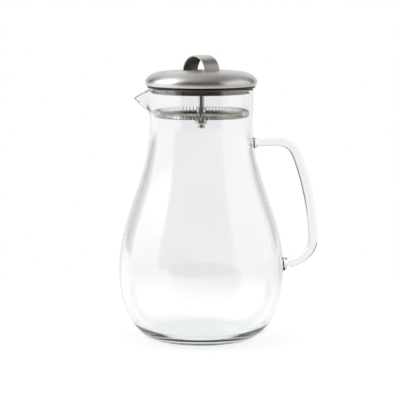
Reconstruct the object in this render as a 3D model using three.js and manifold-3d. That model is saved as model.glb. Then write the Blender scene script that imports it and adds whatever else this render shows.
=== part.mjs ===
// A glass serving pitcher with a lift-off lid. The blown vessel has a beak pulled out of its rim and
// a glass rod handle welded to its side. The lid is a spun steel dome crimped onto a pressed pan,
// with a finned seal ring round the pan and a bent strap on top. A rod under the pan carries a
// perforated strainer plate, and a coil spring round the plate's edge meets the inside of the neck.
//
// Millimetres, +Z up. The vessel stands on z = 0 and its axis is the z axis. The beak points
// along -X and the handle along +X.

import * as THREE from "three";
import { mergeVertices } from "three/addons/utils/BufferGeometryUtils.js";
import Module from "manifold-3d";

const wasm = await Module();
wasm.setup();

// Vessel, with its waist this far below the rim
const glassHeight = 243.3;
const rimRadius = 50.4;
const waistRadius = 49.6;
const waistDepth = 33;
const bellyRadius = 80;
const bellyHeight = 65.8;
const footRadius = 50.5;
const wall = 3.1;
const floorThickness = 4.4;

// Beak, with its depth below the rim and the angle from its middle to where the pull ends
const beakDepth = 25.3;
const beakReach = 13.8;
const beakDrop = 10.5;
const beakHalfAngle = 28;

// Glass handle
const handleReach = 109.3;
const handleUpperHeight = 189.4;
const handleLowerHeight = 70.6;
const gripRadius = 4.65;
const upperRodRadius = 3.6;
const upperWeldRadius = 4.9;
const lowerWeldRadius = 6.4;
const weldLength = 4.5;

// Lid dome, measured up from its hem
const domeRadius = 54.1;
const domeSheet = 0.9;
const domeHeight = 15.1;
const domeBulgeHeight = 3.6;
const domeCrownRadius = 37.7;
const domeCrownFall = 1.4;
const domeCurlWidth = 1.3;
const domeHemWidth = 5;

// Strap on the dome, with the turn of its right leg towards the front
const strapOuterRadius = 17.2;
const strapThickness = 1.1;
const strapWidth = 18;
const strapSink = 3;
const strapTurn = -50;

// Seal ring and pan
const sealLipRadius = 52.2;
const sealLipThickness = 1.25;
const sealDepth = 5.1;
const sealSleeveThickness = 2;
const sealFinDepth = 1.2;
const sealFinThickness = 1;
const sealFins = 2;
const panSheet = 0.8;
const panCornerRadius = 2.4;
const panFlangeMargin = 1.2;

// Rod and the boss that holds it inside the lid
const rodRadius = 3.1;
const studRadius = 2.1;
const bossRadius = 6.3;
const bossHeight = 8.9;
const bossCap = 1.5;

// Strainer, with its plate this far below the rim of the glass
const strainerDrop = 24.8;
const coilRadius = 3.65;
const coilWireRadius = 0.42;
const coilTurns = 60;
const plateSheet = 0.7;
const plateRimAngle = 20;
const plateHoleRadius = 1.9;
const plateHoleSpacing = 8.2;
const plateHoleMargin = 1.6;
const hubRadius = 4.65;
const hubHeight = 3.9;
const hubSpigotRadius = 3.35;
const washerRadius = 4.9;
const washerThickness = 0.6;
const spacerHeight = 5.65;
const nutAcrossFlats = 10;
const nutHeight = 3.6;
const nutBossRadius = 3.5;
const nutBossHeight = 4.1;
const nutEndThickness = 1.2;
const nutChamfer = 0.8;

// Fits
const clearance = 0.3;
const springClearance = 0.4;
const overrun = 4;

// How finely round pieces are faceted
const vesselSides = 44;
const lidSides = 36;
const turnedSides = 20;
const holeSides = 6;
const coilSteps = 8;
const coilWireSides = 5;
const rodSides = 12;

// Heights that several pieces share, from the rim of the glass upwards and downwards
const waistHeight = glassHeight - waistDepth;
const sealLipHeight = glassHeight + clearance;
const hemHeight = sealLipHeight + sealLipThickness + clearance;
const crownHeight = hemHeight + domeHeight;
const sealFootHeight = glassHeight - sealDepth;
const panFlangeHeight = hemHeight + domeSheet + clearance;
const strainerHeight = glassHeight - strainerDrop;
const hubFootHeight = strainerHeight + plateSheet / 2 + clearance;
const washerHeight = hubFootHeight + hubHeight + clearance;
const spacerTopHeight = strainerHeight - plateSheet / 2 - clearance;
const nutTopHeight = spacerTopHeight - spacerHeight - clearance;
const nutFootHeight = nutTopHeight - nutHeight - nutBossHeight;

const point = (x, y) => new THREE.Vector2(x, y);

const glass = () =>
  new THREE.MeshStandardMaterial({ color: 0xeef4f4, roughness: 0.03, metalness: 0, transparent: true, opacity: 0.35 });
const brushedSteel = () => new THREE.MeshStandardMaterial({ color: 0xb9b6af, roughness: 0.36, metalness: 1 });
const polishedSteel = () => new THREE.MeshStandardMaterial({ color: 0xc6c4bf, roughness: 0.2, metalness: 1 });
const blackSilicone = () => new THREE.MeshStandardMaterial({ color: 0x131415, roughness: 0.45, metalness: 0 });

// Solids and outlines

// A closed triangle mesh as a solid that can be joined and cut.
function solidOf(geometry) {
  const bare = geometry.clone();
  bare.deleteAttribute("normal");
  bare.deleteAttribute("uv");
  const merged = mergeVertices(bare);
  return new wasm.Manifold(
    new wasm.Mesh({
      numProp: 3,
      vertProperties: new Float32Array(merged.attributes.position.array),
      triVerts: new Uint32Array(merged.index.array),
    }),
  );
}

// A solid as a triangle mesh.
function geometryOf(solid) {
  const mesh = solid.getMesh();
  const geometry = new THREE.BufferGeometry();
  geometry.setAttribute("position", new THREE.BufferAttribute(new Float32Array(mesh.vertProperties), 3));
  geometry.setIndex(new THREE.BufferAttribute(new Uint32Array(mesh.triVerts), 1));
  geometry.computeVertexNormals();
  return geometry;
}

// A profile of (radius, height) points turned round the z axis. It runs anticlockwise, and starts
// and ends on the axis or closes on itself.
function turned(profile, sides) {
  return new THREE.LatheGeometry(profile, sides).rotateX(Math.PI / 2);
}

// A line of points moved sideways by a distance, to its left as it runs.
function offsetLine(line, distance) {
  const headings = line.slice(1).map((p, i) => p.clone().sub(line[i]).normalize());
  return line.map((p, i) => {
    const before = headings[Math.max(i - 1, 0)];
    const after = headings[Math.min(i, headings.length - 1)];
    const along = before.clone().add(after).normalize();
    const miter = distance / along.dot(after);
    return point(p.x - along.y * miter, p.y + along.x * miter);
  });
}

// Points on a circular arc from one angle to another, both in degrees.
function arc(x, y, radius, from, to, steps) {
  return Array.from({ length: steps + 1 }, (_, i) => {
    const angle = THREE.MathUtils.degToRad(THREE.MathUtils.lerp(from, to, i / steps));
    return point(x + radius * Math.cos(angle), y + radius * Math.sin(angle));
  });
}

// A round bar along z between two heights.
function bar(radius, low, high, sides) {
  return turned([point(0, low), point(radius, low), point(radius, high), point(0, high)], sides);
}

// A round ring or bush with a straight bore, between two heights.
function bush(radius, boreRadius, low, high) {
  const outline = [
    point(boreRadius, low),
    point(radius, low),
    point(radius, high),
    point(boreRadius, high),
    point(boreRadius, low),
  ];
  return turned(outline, turnedSides);
}

// A circle of points round a centre, in the plane of two unit directions.
function ringRound(centre, across, up, radius, sides) {
  return Array.from({ length: sides }, (_, j) => {
    const angle = (2 * Math.PI * j) / sides;
    const out = across.clone().multiplyScalar(radius * Math.cos(angle));
    return centre.clone().add(out).addScaledVector(up, radius * Math.sin(angle));
  });
}

// Rings of points joined into one closed tube. An endless tube joins its last ring to its first,
// and any other gets a flat cap at each end.
function tubeOfRings(rings, endless) {
  const sides = rings[0].length;
  const spans = endless ? rings.length : rings.length - 1;
  const index = [];
  for (let i = 0; i < spans; i++) {
    const here = i * sides;
    const next = ((i + 1) % rings.length) * sides;
    for (let j = 0; j < sides; j++) {
      const k = (j + 1) % sides;
      index.push(here + j, here + k, next + k, here + j, next + k, next + j);
    }
  }
  if (!endless) {
    const end = (rings.length - 1) * sides;
    for (let j = 1; j < sides - 1; j++) {
      index.push(0, j + 1, j, end, end + j, end + j + 1);
    }
  }
  const geometry = new THREE.BufferGeometry().setFromPoints(rings.flat());
  geometry.setIndex(index);
  geometry.computeVertexNormals();
  return geometry;
}

// Vessel

// How far the tangents of the vessel's outline reach, as shares of each stretch of it
const footTangentShare = 0.08;
const bowlTangentShare = 0.82;
const bellyTangentShare = 0.38;
const waistTangentShare = 0.41;
const neckTangentShare = 0.4;
const bowlSteps = 7;
const shoulderSteps = 7;
const neckSteps = 5;
const rimSteps = 4;

// The outside of the vessel from the edge of its foot to just under its rim.
function vesselOutline() {
  const shoulderRise = waistHeight - bellyHeight;
  const neckTop = glassHeight - wall / 2;
  const neckRise = neckTop - waistHeight;
  const bowl = new THREE.CubicBezierCurve(
    point(footRadius, 0),
    point(THREE.MathUtils.lerp(footRadius, bellyRadius, footTangentShare), 0),
    point(bellyRadius, bellyHeight * (1 - bowlTangentShare)),
    point(bellyRadius, bellyHeight),
  );
  const shoulder = new THREE.CubicBezierCurve(
    point(bellyRadius, bellyHeight),
    point(bellyRadius, bellyHeight + bellyTangentShare * shoulderRise),
    point(waistRadius, waistHeight - waistTangentShare * shoulderRise),
    point(waistRadius, waistHeight),
  );
  const neck = new THREE.CubicBezierCurve(
    point(waistRadius, waistHeight),
    point(waistRadius, waistHeight + neckTangentShare * neckRise),
    point(rimRadius, neckTop - neckTangentShare * neckRise),
    point(rimRadius, neckTop),
  );
  return [
    ...bowl.getPoints(bowlSteps),
    ...shoulder.getPoints(shoulderSteps).slice(1),
    ...neck.getPoints(neckSteps).slice(1),
  ];
}

// The vessel's outer radius at a height, away from the beak.
function vesselRadiusAt(height) {
  const line = vesselOutline();
  const above = line.findIndex((p) => p.y > height);
  if (above < 0) return rimRadius;
  const share = (height - line[above - 1].y) / (line[above].y - line[above - 1].y);
  return THREE.MathUtils.lerp(line[above - 1].x, line[above].x, share);
}

// The vessel is faceted more finely towards the beak, by this share.
const crowdingShare = 0.35;
const boreFlatShare = Math.cos((Math.PI * (1 + crowdingShare)) / vesselSides);

// The radius of the widest round piece that can be lifted out of the neck from a height.
function freeBoreRadius(height) {
  const radii = vesselOutline()
    .filter((p) => p.y >= height)
    .map((p) => p.x);
  return (Math.min(vesselRadiusAt(height), ...radii) - wall) * boreFlatShare;
}

// The vessel's wall and floor: up the outside, over the round rim and down the inside.
function vesselProfile() {
  const outside = vesselOutline();
  const rimMiddle = point(rimRadius - wall / 2, glassHeight - wall / 2);
  const rim = arc(rimMiddle.x, rimMiddle.y, wall / 2, 0, 180, rimSteps).slice(1, -1);
  const inside = offsetLine(outside, wall)
    .filter((p) => p.y > floorThickness + wall / 2)
    .reverse();
  const corner = inside.at(-1);
  return [
    point(0, 0),
    ...outside,
    ...rim,
    ...inside,
    point(corner.x - (corner.y - floorThickness), floorThickness),
    point(0, floorThickness),
  ];
}

// Moves a point round the axis, so that equal steps lie closer together towards the beak.
function crowd(p) {
  const radius = Math.hypot(p.x, p.y);
  const turn = Math.atan2(p.y, -p.x);
  const crowded = turn - crowdingShare * Math.sin(turn);
  p.set(-radius * Math.cos(crowded), radius * Math.sin(crowded), p.z);
}

// Pulls a point near the rim out into the beak. The pull grows straight up the neck and falls away
// to both sides, and the rim dips with it.
function pullBeak(p) {
  const rise = (p.z - (glassHeight - beakDepth)) / beakDepth;
  const turn = Math.abs(Math.atan2(p.y, -p.x)) / THREE.MathUtils.degToRad(beakHalfAngle);
  if (rise <= 0 || turn >= 1) return;
  const pull = rise * (1 - turn) ** 2;
  const radius = Math.hypot(p.x, p.y);
  const moved = (radius + beakReach * pull) / radius;
  p.set(p.x * moved, p.y * moved, p.z - beakDrop * pull);
}

// A turned geometry with each point moved by some functions.
function reshaped(geometry, ...moves) {
  const positions = geometry.attributes.position;
  const p = new THREE.Vector3();
  for (let i = 0; i < positions.count; i++) {
    p.fromBufferAttribute(positions, i);
    moves.forEach((move) => move(p));
    positions.setXYZ(i, p.x, p.y, p.z);
  }
  geometry.computeVertexNormals();
  return geometry;
}

function vesselGeometry() {
  return reshaped(turned(vesselProfile(), vesselSides), crowd, pullBeak);
}

// The space inside the vessel's outer surface, grown by the clearance, that the handle stays out of.
function vesselSpace() {
  const outside = offsetLine(vesselOutline(), -clearance);
  const filled = [point(0, outside[0].y), ...outside, point(0, outside.at(-1).y)];
  return solidOf(reshaped(turned(filled, vesselSides), crowd));
}

// Glass handle

// A place on the handle's loop: its share of the way out from the waist to the handle's reach, and
// its share of the way up from the lower weld to the upper one.
function loopPlace(outShare, upShare) {
  return new THREE.Vector3(
    THREE.MathUtils.lerp(waistRadius, handleReach, outShare),
    0,
    THREE.MathUtils.lerp(handleLowerHeight, handleUpperHeight, upShare),
  );
}

// The middle of the rod from inside the wall at the upper weld to inside the wall at the lower one.
function handlePath() {
  const upperRoot = new THREE.Vector3(vesselRadiusAt(handleUpperHeight) - wall, 0, handleUpperHeight);
  const lowerRoot = new THREE.Vector3(vesselRadiusAt(handleLowerHeight) - wall, 0, handleLowerHeight);
  const bendStart = loopPlace(0.33, 1.013);
  const gripStart = loopPlace(0.764, 0.845);
  const gripEnd = loopPlace(1, 0.219);
  const footStart = loopPlace(0.61, 0.015);
  const path = new THREE.CurvePath();
  path.add(new THREE.LineCurve3(upperRoot, bendStart));
  path.add(new THREE.CubicBezierCurve3(bendStart, loopPlace(0.645, 1.026), loopPlace(0.706, 0.929), gripStart));
  path.add(new THREE.CubicBezierCurve3(gripStart, loopPlace(0.881, 0.681), loopPlace(0.995, 0.413), gripEnd));
  path.add(new THREE.CubicBezierCurve3(gripEnd, loopPlace(1, 0.113), loopPlace(0.855, 0.046), footStart));
  path.add(new THREE.LineCurve3(footStart, lowerRoot));
  return path;
}

// The rod's radius at its distances from both ends. It swells into a weld at each end, and is
// thinner at the top, where it was drawn out.
const drawnOutShare = 0.3;
function rodRadiusAt(fromUpper, fromLower) {
  const share = fromUpper / (fromUpper + fromLower);
  const drawn = 1 - THREE.MathUtils.smoothstep(share, 0, drawnOutShare);
  const rod = THREE.MathUtils.lerp(gripRadius, upperRodRadius, drawn);
  const upperWeld = 1 - THREE.MathUtils.smoothstep(fromUpper - wall, 0, weldLength);
  const lowerWeld = 1 - THREE.MathUtils.smoothstep(fromLower - wall, 0, weldLength);
  return rod + (upperWeldRadius - upperRodRadius) * upperWeld + (lowerWeldRadius - gripRadius) * lowerWeld;
}

const weldSteps = 4;
const handleSteps = 44;

function handleGeometry() {
  const path = handlePath();
  const length = path.getLength();
  const weldSpan = wall + weldLength;
  const between = length - 2 * weldSpan;
  const sideways = new THREE.Vector3(0, 1, 0);
  const distances = [
    ...Array.from({ length: weldSteps }, (_, i) => (weldSpan * i) / weldSteps),
    ...Array.from({ length: handleSteps }, (_, i) => weldSpan + (between * i) / handleSteps),
    ...Array.from({ length: weldSteps + 1 }, (_, i) => length - weldSpan * (1 - i / weldSteps)),
  ];
  const rings = distances.map((distance) => {
    const along = path.getTangentAt(distance / length);
    const across = new THREE.Vector3().crossVectors(sideways, along).normalize();
    const radius = rodRadiusAt(distance, length - distance);
    return ringRound(path.getPointAt(distance / length), across, sideways, radius, rodSides);
  });
  return geometryOf(solidOf(tubeOfRings(rings, false)).subtract(vesselSpace()));
}

// Lid dome and strap

const crownSteps = 2;
const shoulderArcSteps = 5;
const curlSteps = 3;

// The outside of the dome from the middle of its crown, round the bulge, to its turned-in hem.
function domeOutline() {
  const bulge = hemHeight + domeBulgeHeight;
  const shoulderTop = crownHeight - domeCrownFall;
  const crown = Array.from({ length: crownSteps }, (_, i) => {
    const share = i / crownSteps;
    return point(domeCrownRadius * share, crownHeight - domeCrownFall * share ** 2);
  });
  const shoulder = arc(0, 0, 1, 90, 0, shoulderArcSteps).map((p) =>
    point(
      THREE.MathUtils.lerp(domeCrownRadius, domeRadius, p.x),
      THREE.MathUtils.lerp(bulge, shoulderTop, p.y),
    ),
  );
  const curl = arc(0, 0, 1, 0, -90, curlSteps).map((p) =>
    point(domeRadius - domeCurlWidth * (1 - p.x), bulge + domeBulgeHeight * p.y),
  );
  const hemEnd = point(domeRadius - domeCurlWidth - domeHemWidth, hemHeight);
  return [...crown, ...shoulder, ...curl.slice(1), hemEnd];
}

// The dome's outline moved outwards, or inwards below zero, with its first point kept on the axis.
function domeLine(moved) {
  const line = offsetLine(domeOutline(), moved);
  line[0].x = 0;
  return line;
}

function domeGeometry() {
  return turned([...domeLine(-domeSheet), ...domeLine(0).reverse()], lidSides);
}

// The space that the closed lid fills, grown by the clearance, that the strap stays out of.
function domeSpace() {
  const outside = domeLine(clearance).reverse();
  return solidOf(turned([point(0, outside[0].y), ...outside], lidSides));
}

const strapSteps = 18;

// A wide strip bent into a half circle that stands on the dome.
function strapGeometry() {
  const inner = strapOuterRadius - strapThickness;
  const outline = new THREE.Shape();
  outline.moveTo(inner, -overrun);
  outline.lineTo(strapOuterRadius, -overrun);
  outline.absarc(0, 0, strapOuterRadius, 0, Math.PI, false);
  outline.lineTo(-strapOuterRadius, -overrun);
  outline.lineTo(-inner, -overrun);
  outline.absarc(0, 0, inner, Math.PI, 0, true);
  const settings = { depth: strapWidth, bevelEnabled: false, curveSegments: strapSteps };
  const strip = new THREE.ExtrudeGeometry(outline, settings)
    .translate(0, 0, -strapWidth / 2)
    .rotateX(Math.PI / 2)
    .translate(0, 0, crownHeight - strapSink);
  return geometryOf(solidOf(strip).subtract(domeSpace()));
}

// Seal ring and pan

const sealFinRadius = freeBoreRadius(sealFootHeight) - clearance;
const sealSleeveRadius = sealFinRadius - sealFinDepth;
const sealBoreRadius = sealSleeveRadius - sealSleeveThickness;

// A sleeve with a lip that lies between the hem and the rim, and fins that meet the neck.
function sealGeometry() {
  const finSpacing = (sealLipHeight - sealFootHeight) / sealFins;
  const outline = [point(sealBoreRadius, sealFootHeight)];
  for (let i = 0; i < sealFins; i++) {
    const foot = sealFootHeight + i * finSpacing;
    if (i > 0) outline.push(point(sealSleeveRadius, foot));
    outline.push(
      point(sealFinRadius, foot),
      point(sealFinRadius, foot + sealFinThickness),
      point(sealSleeveRadius, foot + sealFinThickness),
    );
  }
  const lipTop = sealLipHeight + sealLipThickness;
  outline.push(
    point(sealSleeveRadius, sealLipHeight),
    point(sealLipRadius, sealLipHeight),
    point(sealLipRadius, lipTop),
    point(sealBoreRadius, lipTop),
    outline[0],
  );
  return turned(outline, lidSides);
}

const cornerSteps = 3;
const panRadius = sealBoreRadius - clearance;
const panFloorTop = sealFootHeight + panSheet;

// A dish inside the seal, with a flange that the dome's hem is folded under.
function panGeometry() {
  const boreRadius = studRadius + clearance;
  const flangeRadius = domeRadius - domeCurlWidth - panFlangeMargin;
  const innerCorner = panCornerRadius - panSheet;
  const cornerX = panRadius - panCornerRadius;
  const cornerY = sealFootHeight + panCornerRadius;
  const outline = [
    point(boreRadius, sealFootHeight),
    ...arc(cornerX, cornerY, panCornerRadius, -90, 0, cornerSteps),
    point(panRadius, panFlangeHeight),
    point(flangeRadius, panFlangeHeight),
    point(flangeRadius, panFlangeHeight + panSheet),
    point(panRadius - panSheet, panFlangeHeight + panSheet),
    ...arc(cornerX, cornerY, innerCorner, 0, -90, cornerSteps),
    point(boreRadius, panFloorTop),
    point(boreRadius, sealFootHeight),
  ];
  return turned(outline, lidSides);
}

// Rod and boss

const bossFoot = panFloorTop + clearance;

// A blind bush on the pan's floor, inside the lid, that the top of the rod is held in.
function bossGeometry() {
  const boreRadius = studRadius + clearance;
  const top = bossFoot + bossHeight;
  const outline = [
    point(0, top - bossCap),
    point(boreRadius, top - bossCap),
    point(boreRadius, bossFoot),
    point(bossRadius, bossFoot),
    point(bossRadius, top),
    point(0, top),
  ];
  return turned(outline, turnedSides);
}

// A round rod with a thinner stud at both ends: the upper one in the boss, the lower one through
// the strainer's stack and into the nut.
function rodGeometry() {
  const studFoot = nutFootHeight + nutEndThickness + clearance;
  const rodFoot = washerHeight + washerThickness + clearance;
  const rodTop = sealFootHeight - clearance;
  const studTop = bossFoot + bossHeight - bossCap - clearance;
  const outline = [
    point(0, studFoot),
    point(studRadius, studFoot),
    point(studRadius, rodFoot),
    point(rodRadius, rodFoot),
    point(rodRadius, rodTop),
    point(studRadius, rodTop),
    point(studRadius, studTop),
    point(0, studTop),
  ];
  return turned(outline, turnedSides);
}

// Strainer

const coilMiddleRadius = freeBoreRadius(strainerHeight - coilRadius) - springClearance - coilRadius;
const plateRimReach = coilRadius + springClearance;

// The middle of the spring's wire at a share of the way round the strainer.
function wirePlace(share) {
  const round = 2 * Math.PI * share;
  const curl = coilTurns * round;
  const helixRadius = coilRadius - coilWireRadius;
  const radius = coilMiddleRadius + helixRadius * Math.cos(curl);
  return new THREE.Vector3(
    radius * Math.cos(round),
    radius * Math.sin(round),
    strainerHeight + helixRadius * Math.sin(curl),
  );
}

// The smallest space between neighbouring curls of the spring's wire.
function leastCurlGap(steps) {
  const places = Array.from({ length: steps }, (_, i) => wirePlace(i / steps));
  const distances = places.flatMap((p, i) =>
    Array.from({ length: coilSteps + 1 }, (_, j) => {
      const other = (i + coilSteps / 2 + j) % steps;
      return p.distanceTo(places[other]);
    }),
  );
  return distances.reduce((least, distance) => Math.min(least, distance)) - 2 * coilWireRadius;
}

// A spring of one endless wire that curls round the edge of the strainer plate.
function coilGeometry() {
  const steps = coilTurns * coilSteps;
  const rings = Array.from({ length: steps }, (_, i) => {
    const share = i / steps;
    const halfStep = 1 / (2 * steps);
    const round = 2 * Math.PI * share;
    const middle = new THREE.Vector3(Math.cos(round), Math.sin(round), 0)
      .multiplyScalar(coilMiddleRadius)
      .setZ(strainerHeight);
    const centre = wirePlace(share);
    const along = wirePlace(share + halfStep).sub(wirePlace(share - halfStep)).normalize();
    const up = new THREE.Vector3().crossVectors(along, centre.clone().sub(middle)).normalize();
    const across = new THREE.Vector3().crossVectors(up, along);
    return ringRound(centre, across, up, coilWireRadius, coilWireSides);
  });
  console.log(`coil_spring least gap between curls: ${leastCurlGap(steps).toFixed(2)} mm`);
  return tubeOfRings(rings, true);
}

// The back of the plate's rim has a point at each edge and one in the middle, at the disc.
const rimBackSteps = 2;

// The plate's disc with its edge rolled into a shallow groove that the spring lies in.
function plateProfile() {
  const from = 180 + plateRimAngle;
  const to = 180 - plateRimAngle;
  const outer = arc(coilMiddleRadius, strainerHeight, plateRimReach, from, to, cornerSteps);
  const inner = arc(coilMiddleRadius, strainerHeight, plateRimReach + plateSheet, from, to, rimBackSteps);
  const boreRadius = hubSpigotRadius + clearance;
  const low = strainerHeight - plateSheet / 2;
  const high = strainerHeight + plateSheet / 2;
  return [
    point(boreRadius, low),
    point(inner[1].x, low),
    inner[0],
    ...outer,
    inner[2],
    point(inner[1].x, high),
    point(boreRadius, high),
    point(boreRadius, low),
  ];
}

// A perforated plate: rings of holes, as many in each as its circle takes.
function plateGeometry() {
  const outerRadius = coilMiddleRadius - plateRimReach - plateSheet - plateHoleMargin - plateHoleRadius;
  const innerRadius = hubRadius + plateHoleMargin + plateHoleRadius;
  const rings = Math.floor((outerRadius - innerRadius) / plateHoleSpacing) + 1;
  let plate = solidOf(turned(plateProfile(), lidSides));
  for (let i = 0; i < rings; i++) {
    const radius = outerRadius - i * plateHoleSpacing;
    const holes = Math.floor((2 * Math.PI * radius) / plateHoleSpacing);
    for (let j = 0; j < holes; j++) {
      const angle = (2 * Math.PI * j) / holes;
      const hole = bar(plateHoleRadius, strainerHeight - overrun, strainerHeight + overrun, holeSides);
      hole.translate(radius * Math.cos(angle), radius * Math.sin(angle), 0);
      plate = plate.subtract(solidOf(hole));
    }
  }
  return geometryOf(plate);
}

// A collar on top of the plate, with a spigot that runs through the plate and the spacer.
function hubGeometry() {
  const boreRadius = studRadius + clearance;
  const spigotFoot = spacerTopHeight - spacerHeight + clearance;
  const outline = [
    point(boreRadius, spigotFoot),
    point(hubSpigotRadius, spigotFoot),
    point(hubSpigotRadius, hubFootHeight),
    point(hubRadius, hubFootHeight),
    point(hubRadius, hubFootHeight + hubHeight),
    point(boreRadius, hubFootHeight + hubHeight),
    point(boreRadius, spigotFoot),
  ];
  return turned(outline, turnedSides);
}

const hexSides = 6;

// A six-sided nut with a closed round end.
function nutGeometry() {
  const cornerRadius = nutAcrossFlats / 2 / Math.cos(Math.PI / hexSides);
  const shoulder = nutTopHeight - nutHeight;
  const hex = bar(cornerRadius, shoulder, nutTopHeight, hexSides).rotateZ(Math.PI / hexSides);
  const end = [
    point(0, nutFootHeight),
    point(nutBossRadius - nutChamfer, nutFootHeight),
    point(nutBossRadius, nutFootHeight + nutChamfer),
    point(nutBossRadius, nutTopHeight),
    point(0, nutTopHeight),
  ];
  const bore = bar(studRadius + clearance, nutFootHeight + nutEndThickness, nutTopHeight + overrun, turnedSides);
  return geometryOf(solidOf(hex).add(solidOf(turned(end, turnedSides))).subtract(solidOf(bore)));
}

// The pitcher

function piece(name, geometry, material) {
  const mesh = new THREE.Mesh(geometry, material);
  mesh.name = name;
  return mesh;
}

function vessel() {
  const group = new THREE.Group();
  group.add(piece("glass_body", vesselGeometry(), glass()));
  group.add(piece("glass_handle", handleGeometry(), glass()));
  return group;
}

function lid() {
  const group = new THREE.Group();
  const strap = piece("lid_strap", strapGeometry(), brushedSteel());
  strap.rotation.z = THREE.MathUtils.degToRad(strapTurn);
  group.add(piece("lid_dome", domeGeometry(), brushedSteel()));
  group.add(strap);
  group.add(piece("lid_pan", panGeometry(), polishedSteel()));
  group.add(piece("seal_ring", sealGeometry(), blackSilicone()));
  group.add(piece("rod_boss", bossGeometry(), polishedSteel()));
  return group;
}

function strainer() {
  const group = new THREE.Group();
  const studBore = studRadius + clearance;
  const washer = bush(washerRadius, studBore, washerHeight, washerHeight + washerThickness);
  const spacer = bush(hubRadius, hubSpigotRadius + clearance, spacerTopHeight - spacerHeight, spacerTopHeight);
  group.add(piece("strainer_rod", rodGeometry(), polishedSteel()));
  group.add(piece("rod_washer", washer, polishedSteel()));
  group.add(piece("strainer_hub", hubGeometry(), polishedSteel()));
  group.add(piece("strainer_plate", plateGeometry(), polishedSteel()));
  group.add(piece("coil_spring", coilGeometry(), polishedSteel()));
  group.add(piece("hub_spacer", spacer, polishedSteel()));
  group.add(piece("retaining_nut", nutGeometry(), polishedSteel()));
  return group;
}

const pitcher = new THREE.Group();
pitcher.add(vessel(), lid(), strainer());

export default pitcher;
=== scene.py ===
import math

import bpy
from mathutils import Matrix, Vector
from mathutils.geometry import interpolate_bezier


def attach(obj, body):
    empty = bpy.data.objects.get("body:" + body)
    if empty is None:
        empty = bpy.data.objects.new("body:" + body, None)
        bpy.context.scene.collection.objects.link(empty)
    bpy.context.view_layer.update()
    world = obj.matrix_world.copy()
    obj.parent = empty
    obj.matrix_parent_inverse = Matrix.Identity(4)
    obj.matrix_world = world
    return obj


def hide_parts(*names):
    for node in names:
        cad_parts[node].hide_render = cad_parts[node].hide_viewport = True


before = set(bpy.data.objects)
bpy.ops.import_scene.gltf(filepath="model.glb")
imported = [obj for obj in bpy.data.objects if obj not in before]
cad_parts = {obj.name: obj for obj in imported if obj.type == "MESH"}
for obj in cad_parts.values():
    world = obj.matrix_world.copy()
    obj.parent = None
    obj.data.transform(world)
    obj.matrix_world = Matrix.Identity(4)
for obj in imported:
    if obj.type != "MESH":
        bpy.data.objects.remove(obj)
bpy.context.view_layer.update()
bpy.ops.object.select_all(action="DESELECT")
scene = bpy.context.scene
scene.view_settings.view_transform = "Standard"

MM = 0.001

# Camera: a long lens, a little above the lid and looking slightly down. Its place is in metres
CAMERA_PLACE = (-0.00117, -1.7, 0.353)
CAMERA_PITCH = 7.3485
CAMERA_LENS = 158.44
CAMERA_SENSOR = 36
bpy.ops.object.camera_add(location=CAMERA_PLACE, rotation=(math.radians(90 - CAMERA_PITCH), 0, 0))
camera = bpy.context.object
camera.name = "camera"
camera.data.lens = CAMERA_LENS
camera.data.sensor_width = CAMERA_SENSOR
scene.camera = camera

# How many steps round the axis the large and the shallow spun pieces take
ROUND_STEPS = 128
DISH_STEPS = 96

# Vessel
GLASS_HEIGHT = 243.3
RIM_RADIUS = 50.4
WAIST_RADIUS = 49.6
WAIST_HEIGHT = 210.3
BELLY_RADIUS = 80
BELLY_HEIGHT = 65.8
FOOT_RADIUS = 50.5
WALL = 2.7
FLOOR_THICKNESS = 4.4
KICK_RADIUS = 40
KICK_HEIGHT = 1.6
BEAK_DEPTH = 25.3
BEAK_REACH = 14.9
BEAK_DROP = 10
BEAK_HALF_ANGLE = 28
BEAK_SOFTNESS = 0.07
BEAK_THINNING = 0.5
# How far the outline runs straight on from the end of a curve, as shares of the curve's size
FOOT_RUN = 0.08
BELLY_RUN = 0.38
WAIST_RUN = 0.41
NECK_RUN = 0.4
# How low the straight side of the bowl would reach, as a share of the belly's height
BELLY_SIDE_FOOT = 0.18
# The rounding inside, between wall and floor
CORNER_WIDTH = 17
CORNER_WALL_RUN = (4.5, 4.6)
CORNER_FLOOR_RUN = 7.5

# Glass handle
HANDLE_REACH = 109.3
HANDLE_UPPER_HEIGHT = 189.4
HANDLE_LOWER_HEIGHT = 70.6
GRIP_RADIUS = 4.65
UPPER_ROD_RADIUS = 3.5
# The rod is drawn thinner over this share of its length, up to the upper weld
THINNED_SHARE = 0.3
# Where the loop leaves the upper weld, and for each of its curves the two places that it is drawn
# towards and its end. A place is a share of the way out and a share of the way up
LOOP_START = (0.33, 1.013)
LOOP_CURVES = (
    ((0.645, 1.026), (0.706, 0.929), (0.764, 0.845)),
    ((0.881, 0.681), (0.995, 0.413), (1, 0.219)),
    ((1, 0.113), (0.855, 0.046), (0.61, 0.015)),
)
# How deep the rod's ends stand in the wall
WELD_ROOT = 0.6 * WALL
# Distance from the wall and radius there: the melted glass steps down from the wall to the rod
UPPER_WELD = ((0, 5.4), (1.3, 4.9), (2.5, 4.6), (3.2, 3.9), (4, 3.3), (5.5, 3.45))
LOWER_WELD = ((0, 6.9), (1.5, 6.3), (3, 5.6), (4.3, 4.9), (5.2, 4.3), (6.8, 4.55))

# Lid
DOME_RADIUS = 54.1
DOME_SHEET = 0.9
HEM_HEIGHT = 245.6
CROWN_HEIGHT = 260.25
DOME_BULGE_HEIGHT = 3.6
DOME_CROWN_RADIUS = 37.7
DOME_CROWN_FALL = 1.4
DOME_CURL_WIDTH = 1.3
DOME_HEM_WIDTH = 5
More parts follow.
